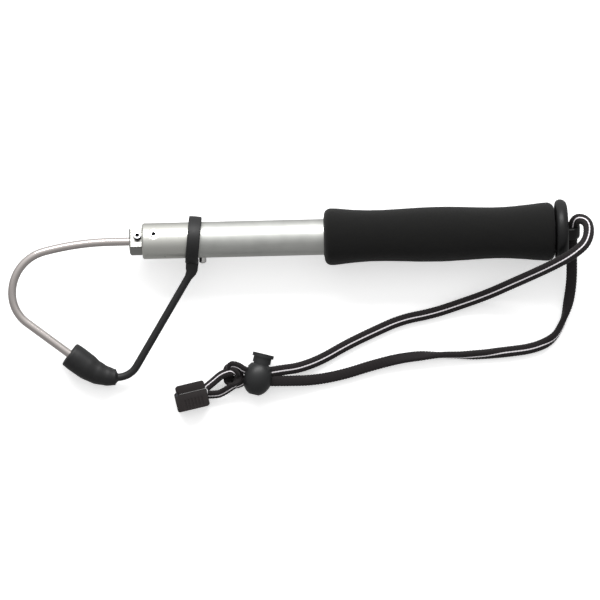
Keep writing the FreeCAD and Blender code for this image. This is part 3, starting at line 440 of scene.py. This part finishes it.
BAND_X, BAND_IN, BAND_OUT, BAND_HALF, BAND_ROUND = -42.6, 11.35, 14.6, 3.9, 0.7
BAND_LEAN = math.radians(-6.4)
rim_half = [(-BAND_HALF, BAND_IN), (-BAND_HALF, BAND_OUT - BAND_ROUND), (-BAND_HALF + 0.2, BAND_OUT - 0.2),
            (-BAND_HALF + BAND_ROUND, BAND_OUT)]
band_rim = rim_half + [(0, BAND_OUT + 0.1)] + [(-x, r) for x, r in reversed(rim_half)]
band = piece_from("band", lathe(band_rim, 96), epdm)
band.data.transform(Matrix.Rotation(BAND_LEAN, 4, "Z"))
band.data.transform(Matrix.Rotation(ROLL, 4, "X") @ Matrix.Translation((BAND_X * MM, 0, 0)))
cut(guard, band, "UNION")
tilt = Matrix.Rotation(ROLL, 3, "X")
BORE_R, BORE_LONG = 2.62, 27.0
bore_end = last + ahead * (POINT_LONG + 1)
cut(guard, solid_rod(tilt @ (bore_end - ahead * BORE_LONG), tilt @ bore_end, BORE_R, epdm))
guard.data.shade_smooth()
changed(guard, "EDGE_SPLIT", split_angle=math.radians(48))
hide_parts("guard_ring", "guard_strap", "guard_cap")
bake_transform(guard)


# ------------------------------------------------------------------ foam grip
# Sleeve of closed-cell EVA foam, ground to a shape with two waists and glued on the outer tube.
# Grinding opens the cells: a dull black that drinks light, with fine pores and soft rounded ends.

# Distance behind the sleeve's front and radius there, in millimetres.
GRIP = [(-0.4, 11.2), (-0.1, 12.4), (0.0, 13.4), (0.35, 14.9), (1.2, 16.2), (2.5, 17.05), (4.2, 17.4),
        (8.0, 17.25), (18.0, 16.25), (30.4, 15.7), (44.0, 16.0), (58.0, 16.6), (71.4, 16.8), (84.0, 16.45),
        (94.0, 15.95), (103.4, 15.7), (112.0, 15.85), (122.0, 16.6), (131.0, 17.5), (135.4, 17.85),
        (137.6, 17.75), (139.2, 17.0), (140.3, 15.8), (140.8, 14.4), (140.9, 12.8), (140.7, 11.2)]


def smooth_through(points, steps):
    """Points of a smooth open curve through the given ones, by Catmull-Rom."""
    ends = [points[0]] + list(points) + [points[-1]]
    found = []
    for a, b, c, d in zip(ends, ends[1:], ends[2:], ends[3:]):
        a, b, c, d = Vector(a), Vector(b), Vector(c), Vector(d)
        for step in range(steps):
            t = step / steps
            found.append(0.5 * (2 * b + (c - a) * t + (2 * a - 5 * b + 4 * c - d) * t ** 2
                                + (3 * b - a - 3 * c + d) * t ** 3))
    return found + [Vector(points[-1])]


foam, tree, shader = finish_of("EVA foam, ground", "#111111", 0.90, Sheen_Weight=0.05, Sheen_Roughness=0.6,
                               Specular_IOR_Level=0.14)
spot = node(tree, "TexCoord", out="Object")
pores = node(tree, "TexVoronoi", out="Distance", Vector=spot, Scale=1 / (0.55 * MM), Randomness=1.0)
grit = node(tree, "TexNoise", Vector=spot, Scale=1 / (0.25 * MM), Detail=2.0)
mottle = node(tree, "TexNoise", Vector=spot, Scale=1 / (6.0 * MM), Detail=5.0, Roughness=0.6)
node(tree, "Mix", RGBA, out=2, into=shader.inputs["Base Color"], _0=mottle, _6=linear("#0e0e0e"),
     _7=linear("#171716"))
node(tree, "MapRange", into=shader.inputs["Roughness"], _0=mottle, _3=0.80, _4=0.95)
grain = node(tree, "Math", {"operation": "MULTIPLY_ADD"}, _0=grit, _1=0.5, _2=pores)
node(tree, "Bump", into=shader.inputs["Normal"], Height=grain, Distance=0.07 * MM, Strength=0.7)

grip_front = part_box("foam_grip")[0].x / MM
outline = [(grip_front + point.x, point.y) for point in smooth_through([(x, r, 0) for x, r in GRIP], 5)]
grip = piece_from("foam_grip_skin", lathe(outline, 128), foam)
grip.data.transform(Matrix.Rotation(ROLL, 4, "X"))
# Grinding leaves hollows 4.5 mm across and up to 0.16 mm deep.
ground = bpy.data.textures.new("ground foam", "CLOUDS")
ground.noise_scale = 4.5 * MM
ground.noise_depth = 3
changed(grip, "DISPLACE", texture=ground, strength=0.16 * MM, mid_level=0.5, texture_coords="LOCAL")
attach(grip, "handle")
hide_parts("foam_grip")


# ------------------------------------------------------------------ end cap
# Moulded rubber cap whose plug fills the tube's end, with a round-rimmed flange and an eye for the cord.
# Butyl rubber from a polished mould: black with a soft gloss that runs along the flange's rim.

# Place along the pole and radius of the cap's outline, from the middle of its plug to the middle of its back.
RIM = [(170.0, 0.01), (170.0, 9.4), (170.6, 10.0), (178.8, 10.0), (179.0, 10.6), (179.0, 16.2),
       (179.35, 18.0), (180.3, 19.1), (181.8, 19.6), (183.2, 19.55), (184.6, 19.0), (185.8, 17.8),
       (186.4, 16.2), (186.5, 14.4), (186.2, 9.0), (186.6, 7.6), (187.2, 6.6), (187.2, 0.01)]

butyl = moulded_black("butyl rubber, moulded", "#1c1c1d", 0.36, 0.34, bloom=(2.5, 5.0, 0.65),
                      texture=(0.3, 0.012, 0.6), shades=("#0b0b0c", "#141415"), roughnesses=(0.30, 0.46))

cap = piece_from("end_cap_skin", lathe(RIM, 144), butyl)
EYE_X, EYE_R, EYE_HALF = 189.6, 4.7, 4.0
EYE_BORE_R, EYE_TURN = 2.9, math.radians(35)
nose = []
for degrees in range(-90, 91, 6):
    angle = math.radians(degrees)
    nose.append((EYE_X + EYE_R * math.cos(angle), EYE_R * math.sin(angle)))
lug_side = [(180.0, 5.6), (186.0, 5.4), (187.0, 4.9)]
lug_outline = [(x, -z) for x, z in lug_side] + nose + lug_side[::-1]
mesh = bmesh.new()
near = [mesh.verts.new((x * MM, -EYE_HALF * MM, z * MM)) for x, z in lug_outline]
face = mesh.faces.new(near)
grown = bmesh.ops.extrude_face_region(mesh, geom=[face])
bmesh.ops.translate(mesh, vec=(0, 2 * EYE_HALF * MM, 0),
                    verts=[v for v in grown["geom"] if isinstance(v, bmesh.types.BMVert)])
bmesh.ops.recalc_face_normals(mesh, faces=mesh.faces)
lug = piece_from("lug", mesh, butyl)
changed(lug, "BEVEL", width=0.9 * MM, segments=4, limit_method="ANGLE", angle_limit=math.radians(50))
cut(cap, lug, "UNION")
cut(cap, solid_rod((EYE_X, -9, 0), (EYE_X, 9, 0), EYE_BORE_R, butyl))
changed(cap, "BEVEL", width=0.5 * MM, segments=3, limit_method="ANGLE", angle_limit=math.radians(60))
cap.data.transform(Matrix.Rotation(EYE_TURN, 4, "X"))
cap.data.shade_smooth()
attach(cap, "handle")
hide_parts("end_cap")


# ------------------------------------------------------------------ wrist cord
# One flat braided polyester cord goes through the cap's eye; both strands run to the cord lock and on
# through a stopper knot into the cord end. Black, with one white tracer yarn along one face.

FLOOR_Z = -19.6
CORD_WIDE, CORD_THICK = 6.8, 4.0
TIGHT_WIDE, TIGHT_THICK = 5.6, 3.2
PLAIT_MM, YARNS_AROUND, BOXY = 1.9, 8, 2.6
UPPER = [(189.6, 0, 0), (190.4, 8.2, 5.7), (199.2, 5.8, 10.6), (198.4, -6.4, 16.4), (188.6, -14.4, 20.4),
         (177, -20.4, 18.4), (166, -25.4, 9.6), (152, -31.4, -2.4), (137, -37.8, -11.4), (120, -43.4, -16),
         (103, -48.6, -17), (84, -51.8, -17), (66, -59.4, -17), (50, -66.6, -17), (34, -75.4, -17),
         (20, -80.2, -15.4), (9, -81.2, -11.8), (2.8, -82.2, -10.6)]
LOWER = [(189.6, 0, 0), (189.5, -7.6, -5.3), (189.4, -18, -8.2), (189.3, -30, -11.2), (187.4, -43, -14.4),
         (183.6, -56, -16.6), (177.2, -66.4, -17), (165, -71.6, -17), (148, -73.4, -17), (128, -75, -16.6),
         (106, -74, -16), (86, -75, -16), (66, -79.4, -16.4), (48, -84.8, -17), (30, -87.9, -16.4),
         (14, -88, -12.6), (1.4, -87.6, -10.6)]


def spline_line(points):
    """Points along the smooth line that has the given points as its control points."""
    data = bpy.data.curves.new("line", "CURVE")
    data.dimensions = "3D"
    data.resolution_u = 24
    spline = data.splines.new("NURBS")
    spline.points.add(len(points) - 1)
    for point, where in zip(spline.points, points):
        point.co = (*[c * MM for c in where], 1)
    spline.order_u = 3
    spline.use_endpoint_u = True
    holder = bpy.data.objects.new("line", data)
    scene.collection.objects.link(holder)
    mesh = bpy.data.meshes.new_from_object(holder)
    found = [v.co.copy() for v in mesh.vertices]
    bpy.data.objects.remove(holder)
    return found


def spaced(line, step):
    """The same line with points at equal distances."""
    lengths = [0.0]
    for a, b in zip(line, line[1:]):
        lengths.append(lengths[-1] + (b - a).length)
    count = max(2, round(lengths[-1] / step))
    found, at = [], 0
    for k in range(count + 1):
        want = lengths[-1] * k / count
        while at < len(line) - 2 and lengths[at + 1] < want:
            at += 1
        share = (want - lengths[at]) / max(lengths[at + 1] - lengths[at], 1e-9)
        found.append(line[at].lerp(line[at + 1], min(1.0, share)))
    return found, lengths[-1]


def braided(name, points, facings, wide, thick, material):
    """A flat braided cord along a route. facings are (share of length, angle of its flat face from +Z,
    turned towards the left of its run). Its UV map holds millimetres along it and round it."""
    line, length = spaced(spline_line(points), 0.38 * MM)
    around = 40
    mesh = bmesh.new()
    rows, travelled = [], []
    along = 0.0
    for index, centre in enumerate(line):
        if index:
            along += (centre - line[index - 1]).length
        ahead = (line[min(index + 1, len(line) - 1)] - line[max(index - 1, 0)]).normalized()
        share = along / length
        upright = Vector((0, 0, 1)) - ahead * ahead.z
        if upright.length < 0.2:
            upright = Vector((0, 1, 0)) - ahead * ahead.y
        upright.normalize()
        left = upright.cross(ahead).normalized()
        angle = math.radians(between(facings, share))
        face = upright * math.cos(angle) + left * math.sin(angle)
        side = face.cross(ahead)
        row = []
        for k in range(around):
            turn = 2 * math.pi * k / around
            s = along / MM / PLAIT_MM
            n = k / around * YARNS_AROUND
            lift = abs(math.sin(math.pi * (s + n / 2)) * math.sin(math.pi * (s - n / 2))) ** 0.5
            swell = 1 - 0.09 * (1 - lift)
            flat = (abs(math.cos(turn)) ** BOXY + abs(math.sin(turn)) ** BOXY) ** (-1 / BOXY)
            offset = side * (math.sin(turn) * wide / 2) + face * (math.cos(turn) * thick / 2)
            row.append(mesh.verts.new(centre + offset * (MM * swell * flat)))
        rows.append(row)
        travelled.append(along / MM)
    skin_rows(mesh, rows, travelled, "braid")
    return piece_from(name, mesh, material), line, length


polyester, tree, shader = finish_of("polyester cord, braided", "#181415", 0.78, Sheen_Weight=0.12,
                                    Sheen_Roughness=0.45, Specular_IOR_Level=0.3)
on_cord = node(tree, "UVMap", {"uv_map": "braid"})
length_mm = node(tree, "SeparateXYZ", out="X", Vector=on_cord)
round_it = node(tree, "SeparateXYZ", out="Y", Vector=on_cord)
# Each yarn is a bundle of filaments 0.16 mm apart, which lie along the cord's length where they show.
laid = node(tree, "Mapping", Vector=on_cord, Scale=(0.9, 110.0, 1.0))
filaments = node(tree, "TexNoise", {"noise_dimensions": "2D"}, Vector=laid, Scale=1.0, Detail=2.0)
black = node(tree, "Mix", RGBA, out=2, _0=filaments, _6=linear("#0d0b0c"), _7=linear("#221c1e"))
white = node(tree, "Mix", RGBA, out=2, _0=filaments, _6=linear("#d9d2d8"), _7=linear("#f6f3f5"))
# The tracer is one white yarn 0.8 mm wide in the middle of one flat face, where the map's round starts.
from_middle = node(tree, "Math", {"operation": "PINGPONG"}, _0=round_it, _1=0.5)
plaits = node(tree, "Math", {"operation": "MULTIPLY"}, _0=length_mm, _1=2 * math.pi / PLAIT_MM)
wander = node(tree, "Math", {"operation": "SINE"}, _0=plaits)
edge = node(tree, "Math", {"operation": "MULTIPLY_ADD"}, _0=wander, _1=0.002, _2=0.0185)
tracer = node(tree, "Math", {"operation": "LESS_THAN"}, _0=from_middle, _1=edge)
node(tree, "Mix", RGBA, out=2, into=shader.inputs["Base Color"], _0=tracer, _6=black, _7=white)
node(tree, "Bump", into=shader.inputs["Normal"], Height=filaments, Distance=0.06 * MM, Strength=0.8)

# The upper strand shows the tracer all along; the lower one has rolled over, so it shows at the bend only.
# Behind the lock the strands make an overhand knot, drawn tight, and end side by side in the cord end.
KNOT_UPPER = [(-3, -83.5, -10.6), (-13, -81.4, -9.6), (-17.4, -77.6, -9.2), (-22.6, -77, -10.6),
              (-24.6, -81.4, -13.4), (-21.6, -87, -15.8), (-16.8, -88, -15.6), (-16.2, -83.6, -11.8),
              (-19.4, -81, -9.4), (-24.4, -81.8, -11.4), (-28.6, -83.8, -13.8), (-32, -86.8, -14.6),
              (-37.4, -91, -14.6)]
KNOT_LOWER = [(-4, -87, -10.6), (-12.8, -86.6, -12.4), (-16.2, -89.2, -14.4), (-21.6, -90.4, -15),
              (-24.6, -86.4, -15.8), (-22.4, -80.6, -15.8), (-17.6, -80, -15), (-16.6, -85, -12),
              (-19.4, -89.2, -11), (-23.4, -91.8, -13), (-27.4, -94.2, -14.6), (-31, -95.4, -14.6),
              (-36.4, -95.2, -14.6)]
TRACER_UP = [(0, 0), (0.06, 25), (0.12, 0), (0.25, 12), (1, 12)]
ROLLED_OVER = [(0, 180), (0.15, 176), (0.26, 70), (0.32, 15), (0.4, 10), (0.47, 40), (0.54, 75), (0.64, 150),
               (0.72, 180), (1, 180)]
UPPER_TURNS = [(0, 0), (0.14, 40), (0.28, 40), (0.36, 150), (0.6, 180), (0.72, -20), (1, -30)]
LOWER_TURNS = [(0, 30), (0.2, 45), (0.3, 60), (0.36, 150), (0.62, 180), (0.74, 40), (1, 35)]
for name, points, facings, wide, thick, stands_for in (
        ("upper_strand", UPPER, TRACER_UP, CORD_WIDE, CORD_THICK, ["cord_upper"]),
        ("lower_strand", LOWER, ROLLED_OVER, CORD_WIDE, CORD_THICK, ["cord_lower"]),
        ("upper_knot_and_tail", KNOT_UPPER, UPPER_TURNS, TIGHT_WIDE, TIGHT_THICK,
         ["cord_tail_upper", "cord_knot"]),
        ("lower_knot_and_tail", KNOT_LOWER, LOWER_TURNS, TIGHT_WIDE, TIGHT_THICK,
         ["cord_tail_lower", "cord_in_lock"])):
    strand, line, long = braided(name, points, facings, wide, thick, polyester)
    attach(strand, "handle")
    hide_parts(*stands_for)


# ------------------------------------------------------------------ cord lock
# Egg-shaped acetal shell with a sprung plunger whose cross hole pins both strands against its slot.
# Moulded black with a fine spark-eroded texture, rubbed to a soft shine where fingers press.

lock_plastic = moulded_black("acetal, black, spark textured", "#232425", 0.40, 0.5, bloom=(4.0, 4.0, 0.6),
                             texture=(0.18, 0.015, 0.7), shades=("#121314", "#1e1f20"),
                             roughnesses=(0.32, 0.50))
dress("cord_lock_body", lock_plastic)
dress("cord_lock_plunger", lock_plastic)


# ------------------------------------------------------------------ cord end
# Two-part cord end that snaps over both tails, hinged on a pin: black ABS with rounded edges and a row of
# shallow grip ribs. Its cheap pigment leaves a brown tint, and the textured mould makes it dull.

abs_plastic = moulded_black("ABS, black, textured", "#1c1717", 0.55, 0.32, bloom=(3.0, 5.0, 0.6),
                            texture=(0.2, 0.02, 0.7), shades=("#171313", "#262020"), roughnesses=(0.46, 0.66))
END_TURN, EDGE_ROUND = math.radians(12), 0.6
GROOVES, GROOVE_STEP, GROOVE_R, GROOVE_UP = 6, 2.1, 0.55, 0.25
for name, body in (("cord_end_body", "handle"), ("cord_end_lid", "cord_end_cover")):
    mesh = bmesh.new()
    mesh.from_mesh(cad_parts[name].data)
    bmesh.ops.remove_doubles(mesh, verts=mesh.verts, dist=0.00001)
    bmesh.ops.dissolve_limit(mesh, angle_limit=math.radians(2), verts=mesh.verts, edges=mesh.edges)
    shell = piece_from(name + "_shell", mesh, abs_plastic)
    changed(shell, "BEVEL", width=EDGE_ROUND * MM, segments=3, limit_method="ANGLE",
            angle_limit=math.radians(50))
    if name == "cord_end_body":
        shell_low, shell_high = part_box(name)
        middle = (shell_low + shell_high) / 2
        across = Vector((-math.sin(END_TURN), math.cos(END_TURN), 0))
        along_end = Vector((math.cos(END_TURN), math.sin(END_TURN), 0))
        for groove in range(GROOVES):
            step = (groove - (GROOVES - 1) / 2) * GROOVE_STEP + 1.2
            centre = middle / MM + along_end * step - across
            top = Vector((centre.x, centre.y, shell_high.z / MM + GROOVE_UP))
            cut(shell, solid_rod(top - across * 3.0, top + across * 2.4, GROOVE_R, abs_plastic, 20))
    shell.data.shade_smooth()
    changed(shell, "EDGE_SPLIT", split_angle=math.radians(40))
    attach(shell, body)
    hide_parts(name)
dress("cord_end_pin", temper)


# ------------------------------------------------------------------ studio
# Pale glowing sweep under the gaff, one long soft box on the far side of the pole, a soft room around it,
# and a long lens straight above.

sweep, tree, shader = finish_of("paper, matt white", "#fbfbfb", 0.9, Specular_IOR_Level=0.1,
                                Emission_Strength=0.45)
shader.inputs["Emission Color"].default_value = (1, 1, 1, 1)
mesh = bmesh.new()
bmesh.ops.create_grid(mesh, x_segments=2, y_segments=2, size=6.0)
floor = piece_from("floor", mesh, sweep)
floor.location.z = FLOOR_Z * MM
floor.visible_glossy = False

# The room is brightest low on the far side, dimmer overhead, and grey on the near side and below.
world = bpy.data.worlds.new("studio")
world.use_nodes = True
room = world.node_tree
towards = node(room, "TexCoord", out="Generated")
way = node(room, "VectorMath", {"operation": "DOT_PRODUCT"}, out="Value", _0=towards, _1=(0, 0.86, 0.5))
share = node(room, "MapRange", _0=way, _1=-0.5, _2=1.0)
share = node(room, "Math", {"operation": "POWER"}, _0=share, _1=2.2)
node(room, "MapRange", into=room.nodes["Background"].inputs["Strength"], _0=share, _3=0.33, _4=1.25)
room.nodes["Background"].inputs["Color"].default_value = (1, 1, 1, 1)
scene.world = world

soft_box = bpy.data.lights.new("far soft box", "AREA")
soft_box.shape = "RECTANGLE"
soft_box.size, soft_box.size_y = 2.0, 0.5
soft_box.energy = 27
lamp = bpy.data.objects.new("far soft box", soft_box)
scene.collection.objects.link(lamp)
lamp.location = (0.0, 1.35, 1.1)
lamp.rotation_euler = (Vector((0.03, -0.03, 0)) - lamp.location).to_track_quat("-Z", "Y").to_euler()

# Width and centre in millimetres and tilt in degrees of what the camera sees at the height of the axis.
WIDTH, CENTRE, TILT, LENS = 367.7, (21.8, -38.3), 1.373, 250
camera_data = bpy.data.cameras.new("camera")
camera_data.lens = LENS
camera_data.clip_end = 20
camera = bpy.data.objects.new("camera", camera_data)
scene.collection.objects.link(camera)
camera.location = (CENTRE[0] * MM, CENTRE[1] * MM, WIDTH * MM * LENS / camera_data.sensor_width)
camera.rotation_euler = (0, 0, math.radians(-TILT))
scene.camera = camera
scene.view_settings.view_transform = "Standard"
